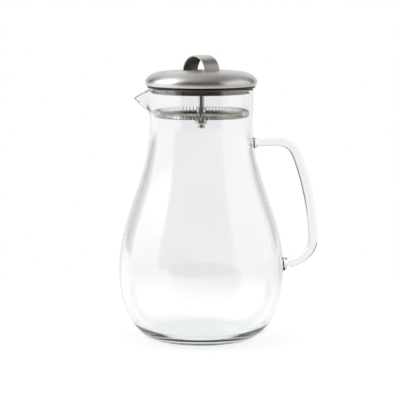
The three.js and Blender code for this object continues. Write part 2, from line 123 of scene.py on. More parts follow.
# How far the crown's slope runs on into the shoulder, and how high the side runs straight up
DOME_CROWN_RUN = 0.76
DOME_SIDE_RUN = 0.26
STRAP_OUTER_RADIUS = 17.2
STRAP_THICKNESS = 1.1
STRAP_WIDTH = 18
STRAP_SINK = 3
STRAP_TURN = -50
STRAP_EDGE = 0.25
SEAL_LIP_RADIUS = 52.2
SEAL_DEPTH = 5.1
SEAL_FIN_RADIUS = 47.2
SEAL_SLEEVE_RADIUS = 45.55
SEAL_BORE_RADIUS = 43.55
SEAL_GROOVE_RISE = 2.35
PAN_RADIUS = 43.3
PAN_SHEET = 0.8
PAN_CORNER = 2.4
PAN_SEAT_RADIUS = 9
PAN_SEAT_STEP = 0.15
PAN_BEAD_START = 24
PAN_BEAD_WIDTH = 7
PAN_BEAD_HEIGHT = 0.9
PAN_FLANGE_RADIUS = 51

# Rod and strainer
ROD_RADIUS = 3.1
ROD_EDGE = 0.3
STUD_RADIUS = 2.1
STUD_EDGE = 0.4
STUD_TOP_REACH = 6.9
STUD_FOOT_RISE = 1.5
STUD_CLEARANCE = 0.1
STRAINER_HEIGHT = 218.5
# A real coil has about twice as many curls. These are as fine as show in the picture
COIL_TURNS = 76
COIL_MIDDLE_RADIUS = 42.95
COIL_RADIUS = 3.75
COIL_WIRE_RADIUS = 0.31
COIL_CLEARANCE = 0.1
PLATE_FLOOR = 215.2
PLATE_SHEET = 0.6
PLATE_HOLE_RADIUS = 1.15
PLATE_HOLE_SPACING = 4.4
PLATE_HOLE_MARGIN = 3.3
PLATE_HUB_MARGIN = 3
# How far round the coil the plate's wall reaches, in degrees
PLATE_WALL_END = 179
SEAT_CLEARANCE = 0.03
HUB_RADIUS = 4.65
HUB_TOP = 223.05
WASHER_RADIUS = 4.9
WASHER_TOP = 223.95
SPACER_FOOT = 212.2
NUT_ACROSS_FLATS = 10
NUT_TOP = 211.9
NUT_HEIGHT = 3.6
NUT_CHAMFER_RADIUS = 4.9
NUT_CHAMFER_HEIGHT = 0.55
NUT_EDGE = 0.12
NUT_BOSS_RADIUS = 3.5
NUT_BOSS_ROUNDING = 0.9
NUT_FOOT = 203.7


# Lines of (radius, height) points

def along(start, towards_start, towards_end, end, steps):
    """Points on a curve between two places, drawn towards two others."""
    corners = [Vector((x, y, 0)) for x, y in (start, towards_start, towards_end, end)]
    return [(p.x, p.y) for p in interpolate_bezier(*corners, steps + 1)]


def arc(x, y, radius, first, last, steps, squash=1):
    """Points on a circular arc between two angles in degrees, squashed in height."""
    angles = [math.radians(first + (last - first) * i / steps) for i in range(steps + 1)]
    return [(x + radius * math.cos(a), y + squash * radius * math.sin(a)) for a in angles]


def beside(line, distance):
    """A line moved sideways by a distance, to its left as it runs."""
    places = [Vector(p) for p in line]
    headings = [(b - a).normalized() for a, b in zip(places, places[1:])]
    moved = []
    for i, place in enumerate(places):
        before = headings[max(i - 1, 0)]
        after = headings[min(i, len(headings) - 1)]
        heading = (before + after).normalized()
        reach = distance / heading.dot(after)
        moved.append((place.x - heading.y * reach, place.y + heading.x * reach))
    return moved


# Modelling

def in_edit_mode(piece):
    """Makes a piece the active one and opens its mesh."""
    bpy.context.view_layer.objects.active = piece
    bpy.ops.object.mode_set(mode="EDIT")


def settle(piece, name, smooth_angle=40):
    """Names a piece, puts its place into its mesh and shades it smooth up to an angle."""
    if bpy.context.mode != "OBJECT":
        bpy.ops.object.mode_set(mode="OBJECT")
    bpy.ops.object.select_all(action="DESELECT")
    piece.select_set(True)
    bpy.context.view_layer.objects.active = piece
    bpy.ops.object.transform_apply(location=True, rotation=True, scale=True)
    bpy.ops.object.shade_smooth_by_angle(angle=math.radians(smooth_angle))
    piece.name = piece.data.name = name
    return piece


def spun(name, outline, steps, smooth_angle=40):
    """A piece turned about the pitcher's axis: a point is drawn out along an outline and spun."""
    bpy.ops.object.select_all(action="DESELECT")
    radius, height = outline[0]
    bpy.ops.mesh.primitive_plane_add(size=MM, location=(radius * MM, 0, height * MM))
    piece = bpy.context.object
    bpy.ops.object.transform_apply(location=True)
    in_edit_mode(piece)
    bpy.ops.mesh.select_mode(type="VERT")
    bpy.ops.mesh.select_all(action="SELECT")
    bpy.ops.mesh.merge(type="CENTER")
    for here, there in zip(outline, outline[1:]):
        step = ((there[0] - here[0]) * MM, 0, (there[1] - here[1]) * MM)
        bpy.ops.mesh.extrude_vertices_move(TRANSFORM_OT_translate={"value": step})
    bpy.ops.mesh.select_all(action="SELECT")
    bpy.ops.mesh.remove_doubles(threshold=0.001 * MM)
    bpy.ops.mesh.spin(steps=steps, angle=math.tau, center=(0, 0, 0), axis=(0, 0, 1))
    bpy.ops.mesh.select_all(action="SELECT")
    bpy.ops.mesh.remove_doubles(threshold=0.001 * MM)
    bpy.ops.mesh.normals_make_consistent(inside=False)
    return settle(piece, name, smooth_angle)


def spun_copies(count):
    """In edit mode, repeats the whole mesh evenly round the pitcher's axis."""
    bpy.ops.mesh.select_all(action="SELECT")
    turn = math.tau * (count - 1) / count
    bpy.ops.mesh.spin(steps=count - 1, angle=turn, center=(0, 0, 0), axis=(0, 0, 1), dupli=True)


def applied(piece, kind, **settings):
    """Adds a modifier with its settings to a piece and applies it."""
    bpy.context.view_layer.objects.active = piece
    bpy.ops.object.modifier_add(type=kind)
    modifier = piece.modifiers[-1]
    for key, value in settings.items():
        setattr(modifier, key, value)
    bpy.ops.object.modifier_apply(modifier=modifier.name)


def joined(name, *pieces, smooth_angle=40):
    """Several meshes as one piece."""
    bpy.ops.object.select_all(action="DESELECT")
    for piece in pieces:
        piece.select_set(True)
    bpy.context.view_layer.objects.active = pieces[0]
    bpy.ops.object.join()
    return settle(pieces[0], name, smooth_angle)


# Glass: the vessel and its handle are one piece of glass

def vessel_outside():
    """The outside of the vessel from the edge of its foot to just under its rim."""
    shoulder = WAIST_HEIGHT - BELLY_HEIGHT
    neck_top = GLASS_HEIGHT - WALL / 2
    neck = neck_top - WAIST_HEIGHT
    bowl_line = along(
        (FOOT_RADIUS, 0),
        (FOOT_RADIUS + FOOT_RUN * (BELLY_RADIUS - FOOT_RADIUS), 0),
        (BELLY_RADIUS, BELLY_SIDE_FOOT * BELLY_HEIGHT),
        (BELLY_RADIUS, BELLY_HEIGHT),
        22,
    )
    shoulder_line = along(
        (BELLY_RADIUS, BELLY_HEIGHT),
        (BELLY_RADIUS, BELLY_HEIGHT + BELLY_RUN * shoulder),
        (WAIST_RADIUS, WAIST_HEIGHT - WAIST_RUN * shoulder),
        (WAIST_RADIUS, WAIST_HEIGHT),
        24,
    )
    neck_line = along(
        (WAIST_RADIUS, WAIST_HEIGHT),
        (WAIST_RADIUS, WAIST_HEIGHT + NECK_RUN * neck),
        (RIM_RADIUS, neck_top - NECK_RUN * neck),
        (RIM_RADIUS, neck_top),
        16,
    )
    return bowl_line + shoulder_line[1:] + neck_line[1:]


def vessel_radius_at(height):
    """The outer radius of the vessel at a height."""
    line = vessel_outside()
    for low, high in zip(line, line[1:]):
        if low[1] <= height <= high[1]:
            share = (height - low[1]) / (high[1] - low[1])
            return low[0] + share * (high[0] - low[0])
    return RIM_RADIUS


def blown_vessel():
    """The vessel, spun from one closed outline: foot, outside, rim, inside and floor."""
    outside = vessel_outside()
    rim = arc(RIM_RADIUS - WALL / 2, GLASS_HEIGHT - WALL / 2, WALL / 2, 0, 180, 12)[1:-1]
    inside = [p for p in beside(outside, WALL) if p[1] > FLOOR_THICKNESS + 3 * WALL][::-1]
    # Under its middle the floor is pushed up a little, and inside it follows
    shares = (0, 0.15, 0.3, 0.45, 0.6, 0.75, 0.9)
    kick = [(KICK_RADIUS * s, KICK_HEIGHT * (1 - s * s) ** 2) for s in shares]
    corner = inside[-1]
    floor_edge = (corner[0] - CORNER_WIDTH, FLOOR_THICKNESS)
    towards_corner = (corner[0] - CORNER_WALL_RUN[0], corner[1] - CORNER_WALL_RUN[1])
    towards_floor = (floor_edge[0] + CORNER_FLOOR_RUN, FLOOR_THICKNESS)
    rounded = along(corner, towards_corner, towards_floor, floor_edge, 9)[1:]
    floor = [(r, h + FLOOR_THICKNESS) for r, h in reversed(kick) if r < floor_edge[0]]
    foot = [(KICK_RADIUS, 0), (KICK_RADIUS + 4, 0)]
    outline = kick + foot + outside + rim + inside + rounded + floor
    vessel = spun("blown_vessel", outline, ROUND_STEPS, 60)
    pull_beak(vessel)
    return vessel


def pull_beak(vessel):
    """Pulls rim and neck out and down into the beak. No operator's falloff grows straight up the
    neck and fades round the rim at once, so the points are moved here."""
    start = GLASS_HEIGHT - BEAK_DEPTH
    for vertex in vessel.data.vertices:
        x, y, z = vertex.co / MM
        rise = (z - start) / BEAK_DEPTH
        turn = math.degrees(math.atan2(y, -x)) / BEAK_HALF_ANGLE
        if rise <= 0 or abs(turn) >= 1:
            continue
        # The middle of the beak is a soft channel, not a crease
        soft = math.sqrt(turn * turn + BEAK_SOFTNESS**2) - BEAK_SOFTNESS
        pull = rise * (1 - soft / (math.sqrt(1 + BEAK_SOFTNESS**2) - BEAK_SOFTNESS)) ** 2
        radius = math.hypot(x, y)
        # Drawn glass gets thinner: the inside follows the outside further than it was pulled
        depth = min(max((RIM_RADIUS - radius) / WALL, 0), 1)
        out = 1 + (BEAK_REACH + BEAK_THINNING * WALL * depth) * pull / radius
        vertex.co = Vector((x * out, y * out, z - BEAK_DROP * pull)) * MM


def on_loop(out, up):
    """A place on the handle's loop, by its share of the way out and of the way up."""
    return (
        WAIST_RADIUS + out * (HANDLE_REACH - WAIST_RADIUS),
        HANDLE_LOWER_HEIGHT + up * (HANDLE_UPPER_HEIGHT - HANDLE_LOWER_HEIGHT),
    )


def handle_line():
    """The middle of the handle's rod from the upper weld to the lower one, in even steps."""
    upper = (vessel_radius_at(HANDLE_UPPER_HEIGHT) - WELD_ROOT, HANDLE_UPPER_HEIGHT)
    lower = (vessel_radius_at(HANDLE_LOWER_HEIGHT) - WELD_ROOT, HANDLE_LOWER_HEIGHT)
    start = LOOP_START
    line = [upper, on_loop(*start)]
    for curve in LOOP_CURVES:
        line += along(*[on_loop(*place) for place in (start, *curve)], 200)[1:]
        start = curve[-1]
    line += [lower]
    return [Vector(p) for p in line]


def place_on(line, distance):
    """The place and heading at a distance along a line."""
    for here, there in zip(line, line[1:]):
        step = there - here
        if distance <= step.length:
            return here + step.normalized() * distance, step.normalized()
        distance -= step.length
    return line[-1], (line[-1] - line[-2]).normalized()


def weld_radius(profile, distance, rod_radius):
    """The rod's radius at a distance from the wall, and past the weld the plain rod's."""
    for (d0, r0), (d1, r1) in zip(profile, profile[1:]):
        if distance <= d1:
            share = max(0, (distance - d0) / (d1 - d0))
            return r0 + share * (r1 - r0)
    return rod_radius


def glass_rod():
    """The handle: a ring is drawn along the loop, turned with it and swollen at both welds."""
    line = handle_line()
    length = sum((b - a).length for a, b in zip(line, line[1:]))
    # Close stations at the welds, and even ones between them
    off_the_wall = (0, 0.7, 1.3, 2, 2.5, 2.9, 3.2, 3.6, 4, 4.6, 5.2, 6, 6.8, 8)
    near = [0] + [WELD_ROOT + d for d in off_the_wall]
    spans = 90
    middle = [near[-1] + (length - 2 * near[-1]) * i / spans for i in range(1, spans)]
    distances = near + middle + [length - d for d in reversed(near)]
    stations = []
    for distance in distances:
        place, heading = place_on(line, distance)
        share = distance / length
        drawn = max(0, 1 - share / THINNED_SHARE)
        rod = GRIP_RADIUS + (UPPER_ROD_RADIUS - GRIP_RADIUS) * drawn * drawn * (3 - 2 * drawn)
        radius = weld_radius(UPPER_WELD, distance - WELD_ROOT, rod)
        if length - distance - WELD_ROOT < LOWER_WELD[-1][0]:
            radius = weld_radius(LOWER_WELD, length - distance - WELD_ROOT, rod)
        stations.append((place, math.atan2(heading.x, heading.y), radius))
    place, angle, radius = stations[0]
    bpy.ops.object.select_all(action="DESELECT")
    bpy.ops.mesh.primitive_circle_add(
        vertices=40,
        radius=radius * MM,
        fill_type="NGON",
        location=(place.x * MM, 0, place.y * MM),
        rotation=(0, angle, 0),
    )
    rod = bpy.context.object
    bpy.ops.object.transform_apply(location=True, rotation=True)
    in_edit_mode(rod)
    bpy.ops.mesh.select_mode(type="FACE")
    bpy.ops.mesh.select_all(action="SELECT")
    for (p0, a0, r0), (p1, a1, r1) in zip(stations, stations[1:]):
        step = ((p1.x - p0.x) * MM, 0, (p1.y - p0.y) * MM)
        centre = (p1.x * MM, 0, p1.y * MM)
        bpy.ops.mesh.extrude_region_move(TRANSFORM_OT_translate={"value": step})
        if abs(a1 - a0) > 1e-5:
            # Without a window this operator turns the other way round
            bpy.ops.transform.rotate(value=a0 - a1, orient_axis="Y", center_override=centre)
        bpy.ops.transform.resize(value=(r1 / r0,) * 3, center_override=centre)
    bpy.ops.mesh.select_all(action="SELECT")
    bpy.ops.mesh.normals_make_consistent(inside=False)
    return settle(rod, "glass_rod", 60)


def pitcher_glass():
    """Vessel and handle, melted into one."""
    vessel = blown_vessel()
    rod = glass_rod()
    applied(vessel, "BOOLEAN", operation="UNION", solver="EXACT", object=rod)
    bpy.data.objects.remove(rod)
    # The wide angle shades the melted edge between rod and wall smooth
    return settle(vessel, "pitcher_glass", 50)


# Lid

def dome_line():
    """The outside of the dome from the middle of its crown to the end of its turned-in hem."""
    bulge = HEM_HEIGHT + DOME_BULGE_HEIGHT
    top = CROWN_HEIGHT - DOME_CROWN_FALL
    slope = -2 * DOME_CROWN_FALL / DOME_CROWN_RADIUS
    shares = (0, 0.2, 0.4, 0.6, 0.8)
    crown = [(DOME_CROWN_RADIUS * s, CROWN_HEIGHT - DOME_CROWN_FALL * s * s) for s in shares]
    reach = DOME_CROWN_RUN * (DOME_RADIUS - DOME_CROWN_RADIUS)
    shoulder = along(
        (DOME_CROWN_RADIUS, top),
        (DOME_CROWN_RADIUS + reach, top + slope * reach),
        (DOME_RADIUS, bulge + DOME_SIDE_RUN * (top - bulge)),
        (DOME_RADIUS, bulge),
        18,
    )
    curl = [
        (DOME_RADIUS - DOME_CURL_WIDTH * (1 - x), bulge + DOME_BULGE_HEIGHT * y)
        for x, y in arc(0, 0, 1, 0, -90, 9)
    ]
    hem_end = (DOME_RADIUS - DOME_CURL_WIDTH - DOME_HEM_WIDTH, HEM_HEIGHT)
    return crown + shoulder + curl[1:] + [hem_end]


def lid_dome():
    """The dome, spun from its outside and the same line a sheet's thickness further in."""
    outside = dome_line()
    inside = beside(outside, -DOME_SHEET)
    inside[0] = (0, inside[0][1])
    return spun("dome", inside + outside[::-1], ROUND_STEPS, 50)


def lid_strap():
    """The bent strip: its cross-section is spun through a half turn whose ends lie in the dome,
    then its edges are eased."""
    middle = STRAP_OUTER_RADIUS - STRAP_THICKNESS / 2
    foot = CROWN_HEIGHT - STRAP_SINK
    bpy.ops.object.select_all(action="DESELECT")
    bpy.ops.mesh.primitive_plane_add(size=1, location=(middle * MM, 0, foot * MM))
    strap = bpy.context.object
    strap.scale = (STRAP_THICKNESS * MM, STRAP_WIDTH * MM, 1)
    bpy.ops.object.transform_apply(location=True, scale=True)
    in_edit_mode(strap)
    bpy.ops.mesh.select_all(action="SELECT")
    bpy.ops.mesh.spin(steps=64, angle=math.pi, center=(0, 0, foot * MM), axis=(0, 1, 0))
    bpy.ops.mesh.select_all(action="SELECT")
    bpy.ops.mesh.normals_make_consistent(inside=False)
    bpy.ops.object.mode_set(mode="OBJECT")
    bevel = {"limit_method": "ANGLE", "angle_limit": math.radians(50)}
    applied(strap, "BEVEL", width=STRAP_EDGE * MM, segments=3, **bevel)
    strap.rotation_euler = (0, 0, math.radians(STRAP_TURN))
    return settle(strap, "strap", 35)


def seal_ring():
    """The lip between dome and rim, and below it a skirt of two bands with a groove between."""
    foot = GLASS_HEIGHT - SEAL_DEPTH
    lip_foot = GLASS_HEIGHT + 0.05
    lip_top = HEM_HEIGHT - 0.1
    groove = foot + SEAL_GROOVE_RISE
    sleeve = SEAL_SLEEVE_RADIUS + 0.6
    outline = [(SEAL_BORE_RADIUS, foot)]
    outline += arc(SEAL_FIN_RADIUS - 0.5, foot + 0.5, 0.5, -90, 0, 5)
    outline += [
        (SEAL_FIN_RADIUS - 0.4, groove - 0.35), (SEAL_FIN_RADIUS - 0.7, groove - 0.1),
        (SEAL_FIN_RADIUS - 0.7, groove + 0.1), (SEAL_FIN_RADIUS, groove + 0.35),
        (SEAL_FIN_RADIUS - 0.5, lip_foot - 0.7), (sleeve, lip_foot - 0.5),
        (sleeve, lip_foot - 0.2), (sleeve + 0.4, lip_foot),
    ]
    outline += arc(SEAL_LIP_RADIUS - 0.6, lip_foot + 0.6, 0.6, -90, 0, 5)
    outline += arc(SEAL_LIP_RADIUS - 0.4, lip_top - 0.4, 0.4, 0, 90, 4)
    outline += [(SEAL_BORE_RADIUS, lip_top), (SEAL_BORE_RADIUS, foot)]
    return spun("seal", outline, ROUND_STEPS, 35)


def lid_pan():
    """The pressed dish that closes the lid from below, with the ring bead that stiffens it."""
    floor = GLASS_HEIGHT - SEAL_DEPTH
    flange = HEM_HEIGHT + DOME_SHEET + 0.05
    bore = STUD_RADIUS + STUD_CLEARANCE
    corner = (PAN_RADIUS - PAN_CORNER, floor + PAN_CORNER)
    step = floor + PAN_SEAT_STEP
    bead_end = PAN_BEAD_START + PAN_BEAD_WIDTH
    outside = [(bore, floor), (PAN_SEAT_RADIUS, floor), (PAN_SEAT_RADIUS + 0.6, step)]
    outside += [(PAN_BEAD_START - 1, step)]
    for across in (1, 2, 3, 3.5, 4, 5, 6):
        rise = PAN_BEAD_HEIGHT * math.sin(math.pi * across / PAN_BEAD_WIDTH) ** 2
        outside += [(PAN_BEAD_START + across, floor + rise)]
    outside += [(bead_end + 1, floor)] + arc(*corner, PAN_CORNER, -90, 0, 8)
    outside += [(PAN_RADIUS, flange), (PAN_FLANGE_RADIUS, flange)]
    inside = beside(outside, PAN_SHEET)
    return spun("pan", outside + inside[::-1] + [outside[0]], DISH_STEPS, 35)


# Strainer

def strainer_rod():
    """The rod below the lid, with a thinner stud at each end."""
    low, high = WASHER_TOP, GLASS_HEIGHT - SEAL_DEPTH
    stud_top = high + PAN_SHEET + STUD_TOP_REACH
    stud_foot = NUT_FOOT + STUD_FOOT_RISE
    rod_core, stud_core = ROD_RADIUS - ROD_EDGE, STUD_RADIUS - STUD_EDGE
    outline = [
        (0, stud_foot), (stud_core, stud_foot), (STUD_RADIUS, stud_foot + STUD_EDGE),
        (STUD_RADIUS, low), (rod_core, low), (ROD_RADIUS, low + ROD_EDGE),
        (ROD_RADIUS, high - ROD_EDGE), (rod_core, high), (STUD_RADIUS, high),
        (STUD_RADIUS, stud_top - STUD_EDGE), (stud_core, stud_top), (0, stud_top),
    ]
    return spun("rod", outline, 40, 30)


def bevelled_ring(name, radius, low, high, edge):
    """A turned ring on the rod's stud, with its outer edges broken."""
    outline = [
        (STUD_RADIUS, low), (radius - edge, low), (radius - 0.3 * edge, low + 0.3 * edge),
        (radius, low + edge), (radius, high - edge), (radius - 0.3 * edge, high - 0.3 * edge),
        (radius - edge, high), (STUD_RADIUS, high), (STUD_RADIUS, low),
    ]
    return spun(name, outline, 48, 30)


def retaining_nut():
    """A hexagon with its corners turned off, on a round blind end."""
    foot = NUT_TOP - NUT_HEIGHT
    corner = NUT_ACROSS_FLATS / 2 / math.cos(math.pi / 6)
    bpy.ops.object.select_all(action="DESELECT")
    bpy.ops.mesh.primitive_cylinder_add(
        vertices=6,
        radius=corner * MM,
        depth=NUT_HEIGHT * MM,
        location=(0, 0, (NUT_TOP - NUT_HEIGHT / 2) * MM),
        rotation=(0, 0, math.pi / 6),
    )
    hexagon = settle(bpy.context.object, "hexagon")
    turned_off = [
        (0, foot), (NUT_CHAMFER_RADIUS, foot), (corner + 0.1, foot + NUT_CHAMFER_HEIGHT),
        (corner + 0.1, NUT_TOP - NUT_CHAMFER_HEIGHT), (NUT_CHAMFER_RADIUS, NUT_TOP), (0, NUT_TOP),
    ]
    cone = spun("cone", turned_off, 48)
    applied(hexagon, "BOOLEAN", operation="INTERSECT", solver="EXACT", object=cone)
    bpy.data.objects.remove(cone)
    bevel = {"limit_method": "ANGLE", "angle_limit": math.radians(25)}
    applied(hexagon, "BEVEL", width=NUT_EDGE * MM, segments=2, **bevel)
    core = NUT_BOSS_RADIUS - NUT_BOSS_ROUNDING
    outline = [(0, NUT_FOOT), (core, NUT_FOOT)]
    outline += arc(core, NUT_FOOT + NUT_BOSS_ROUNDING, NUT_BOSS_ROUNDING, -90, 0, 5)[1:]
    outline += [(NUT_BOSS_RADIUS, foot - 0.5), (NUT_BOSS_RADIUS + 0.5, foot + 0.2), (0, foot + 0.3)]
    return joined("nut", hexagon, spun("end", outline, 40, 30), smooth_angle=30)


def strainer_plate():
    """A pressed dish with a perforated floor. Its wall is grooved outside and cradles the coil."""
    ring = (COIL_MIDDLE_RADIUS, STRAINER_HEIGHT)
    groove = COIL_RADIUS + COIL_CLEARANCE
    back = groove + PLATE_SHEET
    top = PLATE_FLOOR + PLATE_SHEET
    foot_angle = 180 + math.degrees(math.asin((STRAINER_HEIGHT - PLATE_FLOOR) / groove))
    floor_angle = 180 + math.degrees(math.asin((STRAINER_HEIGHT - top) / back))
    bore = STUD_RADIUS + STUD_CLEARANCE
    outline = [(bore, PLATE_FLOOR)] + arc(*ring, groove, foot_angle, PLATE_WALL_END, 9)
    outline += arc(*ring, back, PLATE_WALL_END, floor_angle, 6)
    outline += [(bore, top), (bore, PLATE_FLOOR)]
    plate = spun("plate", outline, DISH_STEPS, 35)
    # Every ring of holes is cut by one pin, spun round the axis
    pins = []
    radius = COIL_MIDDLE_RADIUS - back - PLATE_HOLE_MARGIN
    while radius > HUB_RADIUS + PLATE_HUB_MARGIN:
        holes = int(math.tau * radius / PLATE_HOLE_SPACING)
        bpy.ops.object.select_all(action="DESELECT")
        bpy.ops.mesh.primitive_cylinder_add(
            vertices=12,
            radius=PLATE_HOLE_RADIUS * MM,
            depth=4 * MM,
            location=(radius * MM, 0, PLATE_FLOOR * MM),
        )
        pin = bpy.context.object
        bpy.ops.object.transform_apply(location=True)
        in_edit_mode(pin)
        spun_copies(holes)
        bpy.ops.object.mode_set(mode="OBJECT")
        pins.append(pin)
        radius -= PLATE_HOLE_SPACING
    pins = joined("pins", *pins)
    applied(plate, "BOOLEAN", operation="DIFFERENCE", solver="EXACT", object=pins)
    bpy.data.objects.remove(pins)
    return settle(plate, "plate", 35)


def coil_spring():
    """One curl of the wire is drawn round its ring and then repeated round the strainer, where each
    curl ends in the next."""
    steps = 14
    axis = (0, 0, 0)
    middle = (COIL_MIDDLE_RADIUS * MM, 0, STRAINER_HEIGHT * MM)
    onward = -math.tau / COIL_TURNS / steps
    helix = COIL_RADIUS - COIL_WIRE_RADIUS
    bpy.ops.object.select_all(action="DESELECT")
    bpy.ops.mesh.primitive_circle_add(
        vertices=7,
        radius=COIL_WIRE_RADIUS * MM,
        location=((COIL_MIDDLE_RADIUS + helix) * MM, 0, STRAINER_HEIGHT * MM),
    )
    coil = bpy.context.object
    bpy.ops.object.transform_apply(location=True)
    in_edit_mode(coil)
    bpy.ops.mesh.select_mode(type="EDGE")
    bpy.ops.mesh.select_all(action="SELECT")
    for step in range(steps):
        # Each step of the curl is taken at its start, and is then turned on round the strainer
        bpy.ops.mesh.extrude_edges_move(TRANSFORM_OT_translate={"value": (0, 0, 0)})
        bpy.ops.transform.rotate(value=-onward * step, orient_axis="Z", center_override=axis)
        bpy.ops.transform.rotate(value=math.tau / steps, orient_axis="Y", center_override=middle)
        bpy.ops.transform.rotate(value=onward * (step + 1), orient_axis="Z", center_override=axis)
    spun_copies(COIL_TURNS)
    bpy.ops.mesh.select_all(action="SELECT")
    bpy.ops.mesh.remove_doubles(threshold=0.02 * MM)
    bpy.ops.mesh.normals_make_consistent(inside=False)
    return settle(coil, "coil", 60)


# Materials

COLOURS = {"data_type": "RGBA"}
TO_WORLD = {"convert_from": "OBJECT", "convert_to": "WORLD"}


def linear(code):
    """A colour written as sRGB hex, as the linear values that a shader takes."""
    shares = [int(code[i : i + 2], 16) / 255 for i in (1, 3, 5)]
    return (*[s / 12.92 if s <= 0.04045 else ((s + 0.055) / 1.055) ** 2.4 for s in shares], 1)


def node(tree, kind, settings=(), sockets=()):
    """Adds a node. settings are its own options, and sockets its inputs' values or links."""
    made = tree.nodes.new("ShaderNode" + kind)
    for key, value in dict(settings).items():
        setattr(made, key, value)
    for key, value in dict(sockets).items():
        if isinstance(value, bpy.types.NodeSocket):
            tree.links.new(value, made.inputs[key])
        else:
            made.inputs[key].default_value = value
    return made


def finish_of(name):
    """An empty material and its node tree."""
    material = bpy.data.materials.new(name)
    material.use_nodes = True
    material.node_tree.nodes.clear()
    return material, material.node_tree


def borosilicate_glass():
    """Borosilicate glass, blown and fire polished: clear and slightly cool, with a polished skin
    whose faint swell from blowing bends what is seen through it."""
    material, tree = finish_of("blown_borosilicate_glass")
    place = node(tree, "TexCoord").outputs["Object"]
    # The swell runs over about 45 mm
    waves = {"Vector": place, "Scale": 22, "Detail": 1, "Roughness": 0.4}
    swell = node(tree, "TexNoise", (), waves)
    relief = {"Height": swell.outputs[0], "Strength": 0.35, "Distance": 0.25 * MM}
    bump = node(tree, "Bump", (), relief)
    glass = node(tree, "BsdfPrincipled", (), {
        "Base Color": linear("#fdfefe"), "Roughness": 0.01, "IOR": 1.47,
        "Transmission Weight": 1, "Normal": bump.outputs[0],
    })
    # Lamps shine through the thin walls, so that the glass throws a light shadow
    lit_through = node(tree, "BsdfTransparent", (), {"Color": linear("#e9eeed")})
    shadow = node(tree, "LightPath").outputs["Is Shadow Ray"]
    mix = node(tree, "MixShader", (), {0: shadow, 1: glass.outputs[0], 2: lit_through.outputs[0]})
    node(tree, "OutputMaterial", (), {"Surface": mix.outputs[0]})
    return material


def round_brushed_steel():
    """Stainless steel sheet, spun and brushed in circles: satin, with highlights that spread across
    the rings of fine scratches."""
    material, tree = finish_of("round_brushed_stainless_steel")
    place = node(tree, "TexCoord").outputs["Object"]
    flat = node(tree, "VectorMath", {"operation": "MULTIPLY"}, {0: place, 1: (1, 1, 0)}).outputs[0]
    radius = node(tree, "VectorMath", {"operation": "LENGTH"}, {0: flat}).outputs["Value"]
    outwards = node(tree, "VectorMath", {"operation": "NORMALIZE"}, {0: flat}).outputs[0]
    height = node(tree, "SeparateXYZ", (), {0: place}).outputs[2]
    side = node(tree, "SeparateXYZ", (), {0: outwards}).outputs[0]
    # Real scratches are about 0.1 mm apart. They are drawn 0.35 mm apart, so that some show.
    across = node(tree, "CombineXYZ", (), {0: radius, 1: height, 2: 0}).outputs[0]
    stretch = {0: across, "Scale": 1 / (0.35 * MM)}
    across = node(tree, "VectorMath", {"operation": "SCALE"}, stretch).outputs[0]
    lengthwise = node(tree, "CombineXYZ", (), {0: 0, 1: 0, 2: side}).outputs[0]
    stretch = {0: lengthwise, "Scale": 3}
    lengthwise = node(tree, "VectorMath", {"operation": "SCALE"}, stretch).outputs[0]
    ring_place = node(tree, "VectorMath", {"operation": "ADD"}, {0: across, 1: lengthwise})
    grain = {"Vector": ring_place.outputs[0], "Scale": 1, "Detail": 3, "Roughness": 0.6}
    scratches = node(tree, "TexNoise", (), grain).outputs[0]
    cloud = node(tree, "TexNoise", (), {"Vector": place, "Scale": 35, "Detail": 2}).outputs[0]
    shades = {0: scratches, 6: linear("#c9c8c5"), 7: linear("#dad9d6")}
    colour = node(tree, "Mix", COLOURS, shades)
    rough = node(tree, "MapRange", (), {0: scratches, 1: 0.25, 2: 0.75, 3: 0.3, 4: 0.4})
    smudge = node(tree, "MapRange", (), {0: cloud, 1: 0.3, 2: 0.7, 3: -0.02, 4: 0.03})
    both = {0: rough.outputs[0], 1: smudge.outputs[0]}
    roughness = node(tree, "Math", {"operation": "ADD"}, both)
    bump = node(tree, "Bump", (), {"Height": scratches, "Strength": 0.25, "Distance": 0.01 * MM})
    pair = {0: (0, 0, 1), 1: outwards}
    along_ring = node(tree, "VectorMath", {"operation": "CROSS_PRODUCT"}, pair).outputs[0]
    ring = node(tree, "VectorTransform", TO_WORLD, {0: along_ring})
    steel = node(tree, "BsdfPrincipled", (), {
        "Base Color": colour.outputs[2], "Metallic": 1, "Roughness": roughness.outputs[0],
        "Anisotropic": 0.75, "Anisotropic Rotation": 0.25, "Normal": bump.outputs[0],
        "Tangent": ring.outputs[0],
    })
    node(tree, "OutputMaterial", (), {"Surface": steel.outputs[0]})
    return material


